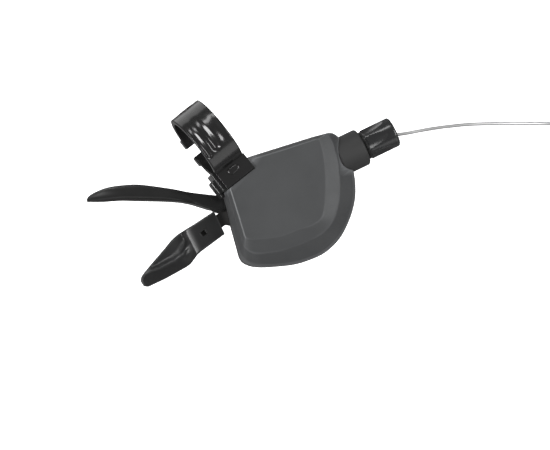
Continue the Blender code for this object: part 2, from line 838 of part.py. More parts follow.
def make_pawls():
    winding = plate("winding_pawl", pawl_outline(WINDING_PIN, 200, 0.15 * MM), PAWL_Z)
    place = polar(*WINDING_PIN)
    cut(winding, upright("winding_bore", place, (-10 * MM, -7 * MM), 1.35 * MM, 24, True))
    steel(winding)
    pin = upright("winding_pawl_pin", place, (-11.9 * MM, -7.2 * MM), PAWL_PIN_R, 24)
    steel(pin)
    holding = plate("holding_pawl", pawl_outline(HOLDING_PIN, 20, 1.55 * MM), PAWL_Z)
    place = polar(*HOLDING_PIN)
    cut(holding, upright("holding_bore", place, (-10 * MM, -7 * MM), 1.35 * MM, 24, True))
    steel(holding)
    pin = upright("holding_pawl_pin", place, (-18.5 * MM, -7.2 * MM), PAWL_PIN_R, 24)
    steel(pin)


# ---------------------------------------------------------------- adjuster and wire


def make_adjuster():
    insert = rod("adjuster_insert", on_wire(23.4 * MM), on_wire(31.6 * MM), 4.2 * MM)
    cut(insert, rod("insert_bore", on_wire(20 * MM), on_wire(34 * MM), 3.2 * MM, as_cutter=True))
    brass(insert)
    stem = rod("adjuster_stem", on_wire(25.5 * MM), on_wire(37.6 * MM), STEM_R)
    bore = rod("stem_bore", on_wire(20 * MM), on_wire(40 * MM), STEM_BORE, as_cutter=True)
    cut(stem, bore)
    dark_steel(stem)
    knob = rod("adjuster_knob", on_wire(KNOB_START), on_wire(KNOB_END), KNOB_R, sides=42)
    stem_seat = rod(
        "stem_seat",
        on_wire(KNOB_START - 1 * MM),
        on_wire(KNOB_END - SOCKET_DEPTH),
        STEM_R + 0.3 * MM,
        as_cutter=True,
    )
    socket = rod(
        "housing_socket",
        on_wire(KNOB_END - SOCKET_DEPTH - 0.4 * MM),
        on_wire(KNOB_END + 1 * MM),
        SOCKET_R,
        as_cutter=True,
    )
    cut(knob, stem_seat, socket)
    for index in range(FLUTES):
        angle = math.tau * (index + 0.5) / FLUTES
        aside = (WIRE_SIDE * math.cos(angle) + Vector((0, 0, 1)) * math.sin(angle)) * 7.3 * MM
        flute = rod(
            f"flute_{index}",
            on_wire(KNOB_START - 1 * MM) + aside,
            on_wire(KNOB_START + 6.2 * MM) + aside * 1.16,
            2.7 * MM,
            sides=20,
            as_cutter=True,
        )
        cut(knob, flute)
    black_plastic(knob)
    liner = rod("adjuster_liner", on_wire(21 * MM), on_wire(37.4 * MM), 1.25 * MM, sides=24)
    cut(liner, rod("liner_bore", on_wire(0), on_wire(50 * MM), 0.85 * MM, as_cutter=True, sides=24))
    white_plastic(liner)


def make_wire():
    inner = rod("wire_inside", on_wire(1.0 * MM), on_wire(39.6 * MM), WIRE_R, sides=12)
    steel(inner)
    route = smooth(in_mm(FREE_ROUTE), 4)
    steel(wire("wire_free", route, WIRE_R, 2))
    across = Vector((-COIL_HEADING.y, COIL_HEADING.x, 0)).normalized()
    ring = []
    for index in range(36):
        angle = math.tau * index / 36
        spoke = COIL_HEADING * math.cos(angle) + Vector((0, 0, 1)) * math.sin(angle)
        ring.append(tuple(COIL_CENTRE + spoke * COIL_R))
    steel(wire("wire_coil", ring, COIL_BUNDLE_R, 2, closed=True))
    tie_place = COIL_CENTRE + COIL_HEADING * COIL_R
    tie = []
    for index in range(16):
        angle = math.tau * index / 16
        spoke = COIL_HEADING * math.cos(angle) + across * math.sin(angle)
        tie.append(tuple(tie_place + spoke * (COIL_BUNDLE_R + 1.0 * MM)))
    black_plastic(wire("coil_tie", tie, 0.6 * MM, 1, closed=True))
    cap_place = COIL_CENTRE - Vector((0, 0, COIL_R + COIL_BUNDLE_R + 1.3 * MM))
    cap_half = COIL_HEADING * 4 * MM
    steel(rod("wire_end_cap", cap_place - cap_half, cap_place + cap_half, 0.95 * MM, sides=16))


# ---------------------------------------------------------------- joints


def hang_on(axis_name, place, *nodes):
    """Parents nodes to an empty that stands on the axis they move on."""
    axis = bpy.data.objects.new(axis_name, None)
    axis.empty_display_size = 5 * MM
    axis.location = place
    parts.objects.link(axis)
    bpy.context.view_layer.update()
    for name in nodes:
        node = bpy.data.objects[name]
        node.parent = axis
        node.matrix_parent_inverse = axis.matrix_world.inverted()


def make_axes():
    pivot = (PIVOT.x, PIVOT.y, 0)
    hang_on("main_lever_axis", pivot, "main_lever_plate", "main_lever_pad", "winding_pawl_pin")
    hang_on("winding_pawl_axis", (*polar(*WINDING_PIN), 0), "winding_pawl")
    hang_on("release_lever_axis", pivot, "release_lever_plate", "release_lever_blade")
    hang_on("holding_pawl_axis", (*polar(*HOLDING_PIN), 0), "holding_pawl")
    hang_on("spool_axis", pivot, "cable_spool", "ratchet_plate", "wire_wrap", "wire_head")
    hang_on(
        "wire_axis", on_wire(KNOB_END), "wire_inside", "wire_free", "wire_coil", "coil_tie",
        "wire_end_cap",
    )
    hang_on(
        "adjuster_axis", on_wire(KNOB_END), "adjuster_knob", "adjuster_stem", "adjuster_liner"
    )


def main():
    global parts, cutters
    clear_scene()
    parts = collection("trigger_shifter")
    cutters = collection("cutters")
    make_top_cover()
    make_bottom_cover()
    make_port_plug()
    make_base_bracket()
    make_lower_plate()
    make_axle_parts()
    torsion_spring("spool_spring", 5.6 * MM, -0.75 * MM, 0.95 * MM, 200, 420, 0.35 * MM, 2.4 * MM)
    torsion_spring("main_lever_spring", 6.6 * MM, -12.1 * MM, 0.9 * MM, 20, 330, 0.35 * MM, 2 * MM)
    torsion_spring(
        "release_lever_spring", 5.2 * MM, -15.6 * MM, 0.75 * MM, 30, 300, 0.3 * MM, 2 * MM
    )
    make_clamp_band()
    make_clamp_fasteners()
    make_screws()
    make_main_lever()
    make_release_lever()
    make_spool()
    make_pawls()
    make_adjuster()
    make_wire()
    make_axes()


main()
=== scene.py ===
import math

import bmesh
import bpy
from mathutils import Matrix, Vector


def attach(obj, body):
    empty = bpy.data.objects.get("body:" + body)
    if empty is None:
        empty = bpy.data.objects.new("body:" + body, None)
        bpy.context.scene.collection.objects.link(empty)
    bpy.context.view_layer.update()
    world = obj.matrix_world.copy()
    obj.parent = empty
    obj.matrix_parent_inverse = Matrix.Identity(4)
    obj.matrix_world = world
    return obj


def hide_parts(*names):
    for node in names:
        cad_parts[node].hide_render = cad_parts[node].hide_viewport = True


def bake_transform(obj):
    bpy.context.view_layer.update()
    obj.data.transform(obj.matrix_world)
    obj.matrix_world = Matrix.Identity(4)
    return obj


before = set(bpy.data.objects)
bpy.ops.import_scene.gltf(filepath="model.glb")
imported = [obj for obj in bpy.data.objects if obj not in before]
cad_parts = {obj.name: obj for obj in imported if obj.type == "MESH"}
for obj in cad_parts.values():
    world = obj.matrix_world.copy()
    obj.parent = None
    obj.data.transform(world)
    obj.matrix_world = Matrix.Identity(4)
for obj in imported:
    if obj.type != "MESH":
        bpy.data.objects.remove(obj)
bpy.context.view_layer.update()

MM = 0.001

# ---------------------------------------------------------------- places shared by the pieces

X_AXIS = Vector((1, 0, 0))
Y_AXIS = Vector((0, 1, 0))
Z_AXIS = Vector((0, 0, 1))
WIRE_DIR = Vector((0.976, -0.218, 0.0)).normalized()
WIRE_START = Vector((10.81, -28.96, -5.0)) * MM

# ---------------------------------------------------------------- camera

TILT = math.radians(8.0)
ACROSS = Vector((math.cos(TILT), 0, math.sin(TILT)))
ALONG = Vector((0, 1, 0))
TOWARDS = Vector((-math.sin(TILT), 0, math.cos(TILT)))
ROLL_COS = 0.7826
ROLL_SIN = 0.6225
RIGHT = ACROSS * ROLL_COS - ALONG * ROLL_SIN
UP = ACROSS * ROLL_SIN + ALONG * ROLL_COS
TARGET = ALONG * -38.55 * MM
VIEW_WIDTH = 194.4 * MM
CAMERA_DISTANCE = 3.0


def make_camera():
    data = bpy.data.cameras.new("camera")
    data.sensor_width = 36
    data.lens = 36 * CAMERA_DISTANCE / VIEW_WIDTH
    data.clip_end = 20
    camera = bpy.data.objects.new("camera", data)
    turn = Matrix((RIGHT, UP, TOWARDS)).transposed().to_4x4()
    camera.matrix_world = Matrix.Translation(TARGET + TOWARDS * CAMERA_DISTANCE) @ turn
    bpy.context.scene.collection.objects.link(camera)
    bpy.context.scene.camera = camera


make_camera()

# ---------------------------------------------------------------- mesh helpers


def ease(value):
    value = min(max(value, 0.0), 1.0)
    return value * value * (3 - 2 * value)


def blend(low, high, share):
    return low + (high - low) * share


def flow(points, per):
    """A Catmull-Rom curve through points of any number of values, with even knots."""
    last = len(points) - 1
    result = []
    for span in range(last):
        a, b, c, d = (points[min(max(span + k, 0), last)] for k in (-1, 0, 1, 2))
        for step in range(per):
            t = step / per
            result.append(
                tuple(
                    0.5 * (2 * q + (r - p) * t + (2 * p - 5 * q + 4 * r - s) * t * t
                           + (3 * q - p - 3 * r + s) * t * t * t)
                    for p, q, r, s in zip(a, b, c, d)
                )
            )
    result.append(tuple(points[-1]))
    return result


def polyline(pairs, key):
    """The value at key on a broken line of (key, value) pairs with rising keys."""
    if key <= pairs[0][0]:
        return pairs[0][1]
    for (k0, v0), (k1, v1) in zip(pairs, pairs[1:]):
        if key <= k1:
            return blend(v0, v1, (key - k0) / (k1 - k0))
    return pairs[-1][1]


def object_of(name, bm, angle=32):
    """A linked object from a bmesh, with its doubled points merged."""
    bmesh.ops.remove_doubles(bm, verts=bm.verts, dist=0.002 * MM)
    bmesh.ops.recalc_face_normals(bm, faces=bm.faces)
    mesh = bpy.data.meshes.new(name)
    bm.to_mesh(mesh)
    bm.free()
    thing = bpy.data.objects.new(name, mesh)
    bpy.context.scene.collection.objects.link(thing)
    shade(thing, angle)
    return thing


def shade(thing, angle):
    """Smooth shading with sharp edges above an angle in degrees."""
    mesh = thing.data
    mesh.shade_smooth()
    mesh.set_sharp_from_angle(angle=math.radians(angle))


def loft(name, rings, closed=False, angle=32):
    """A surface through rings of equal length; closed joins the last ring to the first."""
    bm = bmesh.new()
    rows = [[bm.verts.new(point) for point in ring] for ring in rings]
    pairs = list(zip(rows, rows[1:]))
    if closed:
        pairs.append((rows[-1], rows[0]))
    count = len(rows[0])
    for one, other in pairs:
        for index in range(count):
            after = (index + 1) % count
            bm.faces.new((one[index], one[after], other[after], other[index]))
    if not closed:
        bm.faces.new(rows[0])
        bm.faces.new(rows[-1])
    return object_of(name, bm, angle)


def turned(name, profile, origin, axis, sides=64, radius=None, angle=32):
    """A body turned about an axis. profile has (distance along, radius) in millimetres; radius may
    bend it, given the radius, the distance along and the angle round the axis."""
    axis = axis.normalized()
    first = axis.orthogonal().normalized() if abs(axis.z) > 0.9 else axis.cross(Z_AXIS).normalized()
    second = axis.cross(first)
    rings = []
    for index in range(sides):
        turn = math.tau * index / sides
        spoke = first * math.cos(turn) + second * math.sin(turn)
        ring = []
        for along, r in profile:
            if radius:
                r = radius(r, along, turn)
            ring.append(origin + (axis * along + spoke * r) * MM)
        rings.append(ring)
    return loft(name, rings, closed=True, angle=angle)


def tube(name, path, section):
    """A tube with closed ends along path; section(distance) gives its outline as (aside, up)."""
    ahead = (Vector(path[1]) - Vector(path[0])).normalized()
    side = ahead.orthogonal().normalized()
    rings = []
    travelled = 0.0
    for index, point in enumerate(path):
        point = Vector(point)
        before = Vector(path[max(index - 1, 0)])
        after = Vector(path[min(index + 1, len(path) - 1)])
        travelled += (point - before).length
        ahead = (after - before).normalized()
        side = (side - ahead * side.dot(ahead)).normalized()
        other = ahead.cross(side)
        rings.append([point + side * a + other * b for a, b in section(travelled)])
    return loft(name, rings, angle=60)


def block(name, low, high, bevel):
    """A box with rounded edges, between two corners in millimetres."""
    bm = bmesh.new()
    low = Vector(low) * MM
    high = Vector(high) * MM
    middle = (low + high) / 2
    size = high - low
    bmesh.ops.create_cube(bm, size=1)
    for vert in bm.verts:
        vert.co = middle + Vector((vert.co.x * size.x, vert.co.y * size.y, vert.co.z * size.z))
    if bevel:
        bmesh.ops.bevel(
            bm, geom=list(bm.edges), offset=bevel * MM, segments=3, profile=0.5,
            affect="EDGES",
        )
    return object_of(name, bm)


def rod(name, origin, axis, start, end, radius, sides=48):
    """A round cutter along an axis; origin is in metres and the rest in millimetres."""
    profile = [(start, 0.01), (start, radius), (end, radius), (end, 0.01)]
    return turned(name, profile, origin, axis, sides)


def settled(thing):
    """Bakes an object's modifiers into its mesh."""
    graph = bpy.context.evaluated_depsgraph_get()
    mesh = bpy.data.meshes.new_from_object(thing.evaluated_get(graph))
    thing.modifiers.clear()
    thing.data = mesh


def cut(thing, *cutters, angle=32):
    """Takes the cutters' space out of a thing and removes the cutters."""
    for cutter in cutters:
        step = thing.modifiers.new("cut", "BOOLEAN")
        step.operation = "DIFFERENCE"
        step.solver = "EXACT"
        step.object = cutter
    settled(thing)
    for cutter in cutters:
        bpy.data.objects.remove(cutter)
    shade(thing, angle)


def merged(name, things, angle=32):
    """One object that holds the meshes of several."""
    bm = bmesh.new()
    for thing in things:
        bm.from_mesh(thing.data)
        bpy.data.objects.remove(thing)
    mesh = bpy.data.meshes.new(name)
    bm.to_mesh(mesh)
    bm.free()
    result = bpy.data.objects.new(name, mesh)
    bpy.context.scene.collection.objects.link(result)
    shade(result, angle)
    return result


def even_normals(thing):
    """Weights the normals by face area, so that flat faces stay evenly shaded."""
    step = thing.modifiers.new("even_normals", "WEIGHTED_NORMAL")
    step.keep_sharp = True
    step.weight = 80


# ---------------------------------------------------------------- materials


def grey(value):
    """The linear value of an 8-bit grey."""
    share = value / 255
    return share / 12.92 if share <= 0.04045 else ((share + 0.055) / 1.055) ** 2.4


# Scales and limits that every finish shares.
CLOUD_SCALE = 90.0
CLOUD_RANGE = (0.3, 0.7)
SHEEN_SPREAD = 0.12
GRAIN_HEIGHT = 0.05
# The pointiness range over which edges get the painted highlight, and how much paler they are painted.
EDGE_HIGHLIGHT_RANGE = (0.505, 0.54)
EDGE_HIGHLIGHT_PALER = 3.5


def surface(name, colour, roughness, metallic=0.0, coat=0.0, grain=0.0, grain_scale=2500.0,
            mottle=0.12, specular=0.5, edge_highlight=0.0):
    """A shader with a little cloudiness in its colour and sheen, an optional fine grain, and
    optionally a painted highlight: paler colour where its edges stand out."""
    material = bpy.data.materials.new(name)
    material.use_nodes = True
    tree = material.node_tree
    nodes = tree.nodes
    links = tree.links
    shader = nodes["Principled BSDF"]
    shader.inputs["Metallic"].default_value = metallic
    shader.inputs["Coat Weight"].default_value = coat
    shader.inputs["Coat Roughness"].default_value = 0.08
    shader.inputs["Specular IOR Level"].default_value = specular
    place = nodes.new("ShaderNodeTexCoord")
    cloud = nodes.new("ShaderNodeTexNoise")
    cloud.inputs["Scale"].default_value = CLOUD_SCALE
    cloud.inputs["Detail"].default_value = 5.0
    links.new(place.outputs["Object"], cloud.inputs["Vector"])
    tone = nodes.new("ShaderNodeValToRGB")
    darker, lighter = tone.color_ramp.elements
    darker.position = CLOUD_RANGE[0]
    lighter.position = CLOUD_RANGE[1]
    darker.color = (*(c * (1 - mottle) for c in colour), 1)
    lighter.color = (*(min(1, c * (1 + mottle)) for c in colour), 1)
    links.new(cloud.outputs["Fac"], tone.inputs["Fac"])
    links.new(tone.outputs["Color"], shader.inputs["Base Color"])
    # Painted highlight: where pointiness shows an edge standing out, the colour is mixed towards a paler
    # one, standing in for light caught along the edge.
    if edge_highlight:
        shape = nodes.new("ShaderNodeNewGeometry")
        edge_highlight_mask = nodes.new("ShaderNodeMapRange")
        edge_highlight_mask.inputs["From Min"].default_value = EDGE_HIGHLIGHT_RANGE[0]
        edge_highlight_mask.inputs["From Max"].default_value = EDGE_HIGHLIGHT_RANGE[1]
        edge_highlight_mask.inputs["To Max"].default_value = edge_highlight
        links.new(shape.outputs["Pointiness"], edge_highlight_mask.inputs["Value"])
        paler = nodes.new("ShaderNodeMix")
        paler.data_type = "RGBA"
        paler.inputs["B"].default_value = (*(min(1, c * EDGE_HIGHLIGHT_PALER) for c in colour), 1)
        links.new(edge_highlight_mask.outputs["Result"], paler.inputs["Factor"])
        links.new(tone.outputs["Color"], paler.inputs["A"])
        links.new(paler.outputs["Result"], shader.inputs["Base Color"])
    sheen = nodes.new("ShaderNodeMapRange")
    sheen.inputs["From Min"].default_value = CLOUD_RANGE[0]
    sheen.inputs["From Max"].default_value = CLOUD_RANGE[1]
    sheen.inputs["To Min"].default_value = roughness * (1 - SHEEN_SPREAD)
    sheen.inputs["To Max"].default_value = roughness * (1 + SHEEN_SPREAD)
    links.new(cloud.outputs["Fac"], sheen.inputs["Value"])
    links.new(sheen.outputs["Result"], shader.inputs["Roughness"])
    if grain:
        fine = nodes.new("ShaderNodeTexNoise")
        fine.inputs["Scale"].default_value = grain_scale
        fine.inputs["Detail"].default_value = 2.0
        links.new(place.outputs["Object"], fine.inputs["Vector"])
        bump = nodes.new("ShaderNodeBump")
        bump.inputs["Strength"].default_value = grain
        bump.inputs["Distance"].default_value = GRAIN_HEIGHT * MM
        links.new(fine.outputs["Fac"], bump.inputs["Height"])
        links.new(bump.outputs["Normal"], shader.inputs["Normal"])
    return material


def tint(value, warm=0.0):
    """A grey with a slight cast: warm above 0, cool below."""
    level = grey(value)
    return (level * (1 + warm), level, level * (1 - warm))


# The cover, lever and blade finishes paint a paler highlight along their standing-out edges.
COVER_PAINT = surface("cover_paint", tint(66, -0.03), 0.53, metallic=0.3, grain=0.5,
                      grain_scale=1400.0, mottle=0.03, edge_highlight=0.6)
BRACKET_PAINT = surface("bracket_paint", tint(44), 0.6, metallic=0.2, grain=0.2)
SHELL_PLASTIC = surface("shell_plastic", tint(38), 0.5, grain=0.3)
CLAMP_PLASTIC = surface("clamp_plastic", tint(24), 0.22, coat=0.25, mottle=0.05)
LEVER_PLASTIC = surface("lever_plastic", tint(26, -0.02), 0.36, grain=0.15, edge_highlight=0.8)
BLADE_PLASTIC = surface("blade_plastic", tint(24), 0.3, mottle=0.06, edge_highlight=0.8)
KNOB_PLASTIC = surface("knob_plastic", tint(32, -0.03), 0.26, coat=0.3, grain=0.1)
PLATED_STEEL = surface("plated_steel", tint(165, -0.01), 0.28, metallic=1.0, mottle=0.06)
DARK_STEEL = surface("dark_steel", tint(70, 0.02), 0.4, metallic=0.9)
SPRING_STEEL = surface("spring_steel", tint(120), 0.3, metallic=1.0, mottle=0.06)
WIRE_STEEL = surface("wire_steel", tint(208), 0.4, metallic=0.85, mottle=0.06)
CAP_ALUMINIUM = surface("cap_aluminium", tint(190), 0.3, metallic=1.0, mottle=0.05)
BRASS = surface("brass", (0.52, 0.36, 0.13), 0.32, metallic=1.0, mottle=0.08)
TIE_PLASTIC = surface("tie_plastic", tint(30), 0.4, mottle=0.05)
WHITE_PLASTIC = surface("white_plastic", tint(205, 0.02), 0.45, mottle=0.04)

CAD_FINISH = {
    "base_bracket": BRACKET_PAINT,
    "bottom_screw_front": PLATED_STEEL,
    "bottom_screw_rear": PLATED_STEEL,
    "cover_screw_front": PLATED_STEEL,
    "cover_screw_rear": PLATED_STEEL,
    "clamp_bolt": PLATED_STEEL,
    "clamp_nut": PLATED_STEEL,
    "clamp_fixing_screw": PLATED_STEEL,
    "cable_port_plug": SHELL_PLASTIC,
    "cable_spool": SHELL_PLASTIC,
    "ratchet_plate": DARK_STEEL,
    "lower_plate": DARK_STEEL,
    "main_lever_plate": DARK_STEEL,
    "release_lever_plate": DARK_STEEL,
    "main_axle": PLATED_STEEL,
    "axle_nut": PLATED_STEEL,
    "thrust_washer": DARK_STEEL,
    "lever_washer": DARK_STEEL,
    "release_bush": DARK_STEEL,
    "spool_bush": DARK_STEEL,
    "winding_pawl": DARK_STEEL,
    "holding_pawl": DARK_STEEL,
    "winding_pawl_pin": PLATED_STEEL,
    "holding_pawl_pin": PLATED_STEEL,
    "main_lever_spring": SPRING_STEEL,
    "release_lever_spring": SPRING_STEEL,
    "spool_spring": SPRING_STEEL,
    "adjuster_insert": BRASS,
    "adjuster_liner": WHITE_PLASTIC,
    "wire_inside": WIRE_STEEL,
    "wire_wrap": WIRE_STEEL,
    "wire_head": PLATED_STEEL,
}


def finish_cad_nodes():
    for name, material in CAD_FINISH.items():
        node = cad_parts[name]
        for place in node.material_slots:
            place.material = material
        if not node.material_slots:
            node.data.materials.append(material)


def piece(thing, material, slot, body, *nodes):
    """Gives a finished piece its material, hides the nodes it stands for and hangs it on its body."""
    thing.data.materials.clear()
    thing.data.materials.append(material)
    if nodes:
        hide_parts(*nodes)
    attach(thing, body)
    return thing


# ---------------------------------------------------------------- the shift wire

WIRE_R = 0.6
STRANDS = 7
STRAND_RIPPLE = 0.045
STRAND_LAY = 9.0
# The route of the free wire, in millimetres, from inside the knob to just above its coil's near side.
FREE_ROUTE = (
    (50.4, -37.8, -5.0), (52.6, -38.8, -5.0), (54.8, -40.2, -5.0), (57.6, -41.9, -5.0),
    (62.4, -44.4, -5.0), (67.2, -47.0, -5.0), (71.9, -49.8, -5.1), (76.5, -52.7, -5.4),
    (81.0, -55.8, -5.9), (88.0, -60.9, -7.2), (96.0, -66.9, -9.8), (102.8, -71.9, -13.4),
    (108.5, -76.1, -19.0), (112.1, -78.8, -26.2), (113.4, -79.8, -34.0), (113.4, -79.8, -42.0),
)
COIL_CENTRE = Vector((126.2, -89.4, -54.4))
COIL_HEADING = Vector((0.8, -0.6, 0.0))
COIL_ACROSS = Vector((0.6, 0.8, 0.0))
COIL_R = 16.0
BUNDLE_PITCH = 1.42
CAP_DROP = 20.5
# The free wire bends over to its coil from this height down, over this much height.
MEET_FROM = -14.0
MEET_OVER = 27.0
CAP_HALF = 4.0


def bundle_places():
    """Where each turn lies in the coil's bundle, as (outward, across), column by column."""
    places = []
    for column, count in enumerate((3, 4, 5, 4, 2)):
        across = (column - 2) * BUNDLE_PITCH * math.sin(math.pi / 3)
        full = 3 if column == 4 else count
        outward = [(k - (full - 1) / 2) * BUNDLE_PITCH for k in range(full)]
        if column % 2 == 0:
            outward.reverse()
        places += [(out, across) for out in outward[:count]]
    return places


def coil_path():
    """Turns that pass from one place in the bundle to the next, and a tail out to the end cap."""
    places = bundle_places()
    path = []
    steps = 96
    last = len(places) - 1
    for turn, (out, across) in enumerate(places):
        window = blend(0.93, 0.07, turn / last)
        for step in range(steps if turn < last else steps // 4):
            share = step / steps
            moved = ease((share - window) / 0.06 + 0.5) if turn < last else 0.0
            following = places[min(turn + 1, last)]
            outward = blend(out, following[0], moved)
            aside = blend(across, following[1], moved)
            if turn == last:
                tail = share * 4
                outward = blend(out, CAP_DROP - COIL_R, ease((tail - 0.3) / 0.5))
                aside = blend(across, 4.1, ease(tail / 0.35)) * (1 - ease((tail - 0.72) / 0.28))
            angle = math.pi + math.tau * share
            spoke = COIL_HEADING * math.cos(angle) + Z_AXIS * math.sin(angle)
            path.append(COIL_CENTRE + spoke * (COIL_R + outward) + COIL_ACROSS * aside)
    end = COIL_CENTRE - Z_AXIS * CAP_DROP
    path += [end + COIL_HEADING * step for step in (0.0, 1.0, 2.0, 3.0)]
    return path


def wire_path():
    """The whole wire in metres: the free route, a short straight drop, and the coil."""
    free = [Vector(point) for point in flow(FREE_ROUTE, 12)]
    coil = coil_path()
    meeting = coil[0] - free[-1]
    shifted = []
    for point in free:
        share = ease((MEET_FROM - point.z) / MEET_OVER)
        shifted.append(point + Vector((meeting.x, meeting.y, 0)) * share)
    gap = coil[0].z - shifted[-1].z
    drop = [shifted[-1] + Z_AXIS * gap * step / 8 for step in range(1, 8)]
    return [tuple(point * MM) for point in shifted + drop + coil]


def strand_outline(distance):
    """Strands that wind round the wire."""
    outline = []
    for index in range(14):
        angle = math.tau * index / 14
        wound = distance / (STRAND_LAY * MM) * math.tau
        ripple = STRAND_RIPPLE * math.cos(STRANDS * (angle - wound))
        r = (WIRE_R - 0.02 + ripple) * MM
        outline.append((r * math.cos(angle), r * math.sin(angle)))
    return outline


def make_tie():
    """A cable tie pulled tight round the coil's bundle, with its lock and cut tail."""
    centre = (COIL_CENTRE + COIL_HEADING * COIL_R) * MM
    strap = turned(
        "tie_strap",
        [(-1.1, 3.62), (-0.95, 3.5), (0.95, 3.5), (1.1, 3.62), (1.1, 4.0), (0.95, 4.12),
         (-0.95, 4.12), (-1.1, 4.0)],
        centre, Z_AXIS,
    )
    lock = block("tie_lock", (-1.4, -1.9, -1.75), (1.4, 1.9, 1.75), 0.35)
    tail = block("tie_tail", (-0.4, 1.0, -1.0), (0.3, 4.6, 1.0), 0.2)
    turn = Matrix((COIL_HEADING, COIL_ACROSS, Z_AXIS)).transposed().to_4x4()
    for thing, out in ((lock, 4.6), (tail, 5.1)):
        thing.data.transform(Matrix.Translation(centre + COIL_HEADING * out * MM) @ turn)
    return piece(merged("coil_cable_tie", [strap, lock, tail]), TIE_PLASTIC, "black_plastic",
                 "shift_wire", "coil_tie")


def make_end_cap():
    """A crimped sleeve over the wire's end."""
    profile = [(-CAP_HALF, 0.68), (-CAP_HALF, 0.86), (-CAP_HALF + 0.15, 0.95)]
    for step in range(1, 30):
        profile.append((blend(-CAP_HALF, CAP_HALF, step / 30) + 0.1, 0.95))
    profile += [(CAP_HALF - 0.25, 0.9), (CAP_HALF - 0.05, 0.7), (CAP_HALF, 0.35), (CAP_HALF, 0.0)]
    profile += [(3.05, 0.0), (3.05, 0.68)]

    def crimped(r, along, turn):
        squeeze = 0.0
        for middle in (-1.6, 1.2):
            squeeze = max(squeeze, 1 - abs(along - middle) / 0.7)
        if r < 0.8 or squeeze <= 0:
            return r
        return r - 0.16 * ease(squeeze) * (0.5 + 0.5 * math.cos(4 * turn))

    centre = (COIL_CENTRE - Z_AXIS * CAP_DROP) * MM
    cap = turned("crimped_end_cap", profile, centre, COIL_HEADING, 32, crimped)
    return piece(cap, CAP_ALUMINIUM, "aluminium_cap", "shift_wire", "wire_end_cap")


def make_wire():
    path = wire_path()
    strand = tube("shift_wire_strand", path, strand_outline)
    strand.data.materials.append(WIRE_STEEL)
    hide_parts("wire_free", "wire_coil")
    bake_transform(strand)
    tie = make_tie()
    cap = make_end_cap()


make_wire()

# ---------------------------------------------------------------- the two covers

COVER_TOP = 4.6
FACET_Z = 2.9
WIDEST_Z = -2.0
COVER_RIM = -9.5
COVER_WALL = 1.6
COVER_MIDDLE = Vector((10.0, -36.0))
BASE_RIM = -9.9
BASE_SIDE = -20.6
BASE_FLOOR = -22.9

# The cover's outline in millimetres, sunwise from the barrel's corner: the edge of its flat top,
# the line between its bevel and its side, and its widest line.
COVER_STATIONS = (
    ((30.9, -24.4), (34.8, -24.7), (35.2, -24.4)), ((30.5, -25.4), (34.6, -25.9), (37.0, -25.6)),
    ((29.1, -28.5), (33.9, -29.0), (38.0, -28.8)), ((26.3, -33.3), (31.5, -34.5), (37.3, -33.8)),
    ((22.8, -38.1), (28.6, -38.9), (35.1, -40.0)), ((19.9, -41.5), (25.6, -42.9), (32.0, -45.3)),
    ((16.8, -44.7), (21.8, -46.8), (28.0, -49.8)), ((13.6, -46.9), (16.6, -50.2), (22.3, -53.8)),
    ((9.4, -46.7), (10.6, -51.2), (15.6, -56.7)), ((4.9, -44.9), (4.0, -49.9), (8.6, -57.4)),
    ((1.8, -44.0), (0.0, -48.6), (2.6, -56.1)), ((-2.0, -42.6), (-4.2, -47.0), (-3.0, -53.9)),
    ((-6.8, -39.8), (-8.6, -44.6), (-8.4, -50.5)), ((-10.4, -37.2), (-12.4, -41.8), (-13.4, -46.8)),
    ((-11.5, -35.8), (-13.8, -38.6), (-15.9, -43.5)), ((-11.5, -34.9), (-13.3, -36.0), (-16.4, -40.4)),
    ((-10.6, -32.6), (-12.3, -33.4), (-14.6, -35.6)), ((-9.0, -28.6), (-10.5, -29.0), (-11.7, -28.6)),
    ((-6.9, -23.2), (-8.3, -23.4), (-8.9, -22.7)), ((-5.0, -18.4), (-6.2, -18.3), (-6.8, -17.8)),
    ((-3.6, -15.2), (-4.2, -14.6), (-4.4, -14.2)), ((8.4, -15.6), (8.1, -14.6), (7.9, -13.7)),
    ((20.0, -20.1), (19.7, -19.1), (19.5, -18.1)), ((29.8, -23.7), (29.9, -23.0), (30.0, -22.1)),
)
CURVED_STATIONS = 18
# The space that the clamp's foot fills, and its gap to the cover.
FOOT_X = (-7.2, 6.4)
FOOT_Y = (-18.5, -11.6)
FOOT_Z = (-8.6, 5.6)
FOOT_GAP = 0.4
BARREL_HOLE_R = 6.95
SCREW_PLACES = ((24.0, -25.5), (21.7, -46.9))
PORT_PLACE = (9.0, -49.0)


def cover_outline():
    """The stations with the curved stretch filled in, each as six values."""
    flat = [tuple(value for point in station for value in point) for station in COVER_STATIONS]
    curved = flow(flat[: CURVED_STATIONS + 1], 5)
    straight = []
    for one, other in zip(flat[CURVED_STATIONS:], flat[CURVED_STATIONS + 1 :] + flat[:1]):
        straight += [tuple(blend(a, b, k / 4) for a, b in zip(one, other)) for k in range(4)]
    return curved[:-1] + straight


OUTLINE = cover_outline()


def outline_point(station, level, grow=0.0):
    point = Vector(station[2 * level : 2 * level + 2])
    return point + (point - COVER_MIDDLE).normalized() * grow


def rounded(profile, radii):
    """Rounds the inner corners of a run of points; radii gives each corner's reach."""
    result = [profile[0]]
    for index in range(1, len(profile) - 1):
        corner = profile[index]
        before = profile[index - 1]
        after = profile[index + 1]
        reach = radii[index - 1]
        if not reach:
            result.append(corner)
            continue
        start = corner + (before - corner).normalized() * min(reach, (before - corner).length * 0.4)
        end = corner + (after - corner).normalized() * min(reach, (after - corner).length * 0.4)
        result.append(start + (start - corner) * 0.2)
        for step in range(4):
            t = step / 3
            result.append(start * (1 - t) ** 2 + corner * 2 * t * (1 - t) + end * t * t)
        result.append(end + (end - corner) * 0.2)
    result.append(profile[-1])
    return result


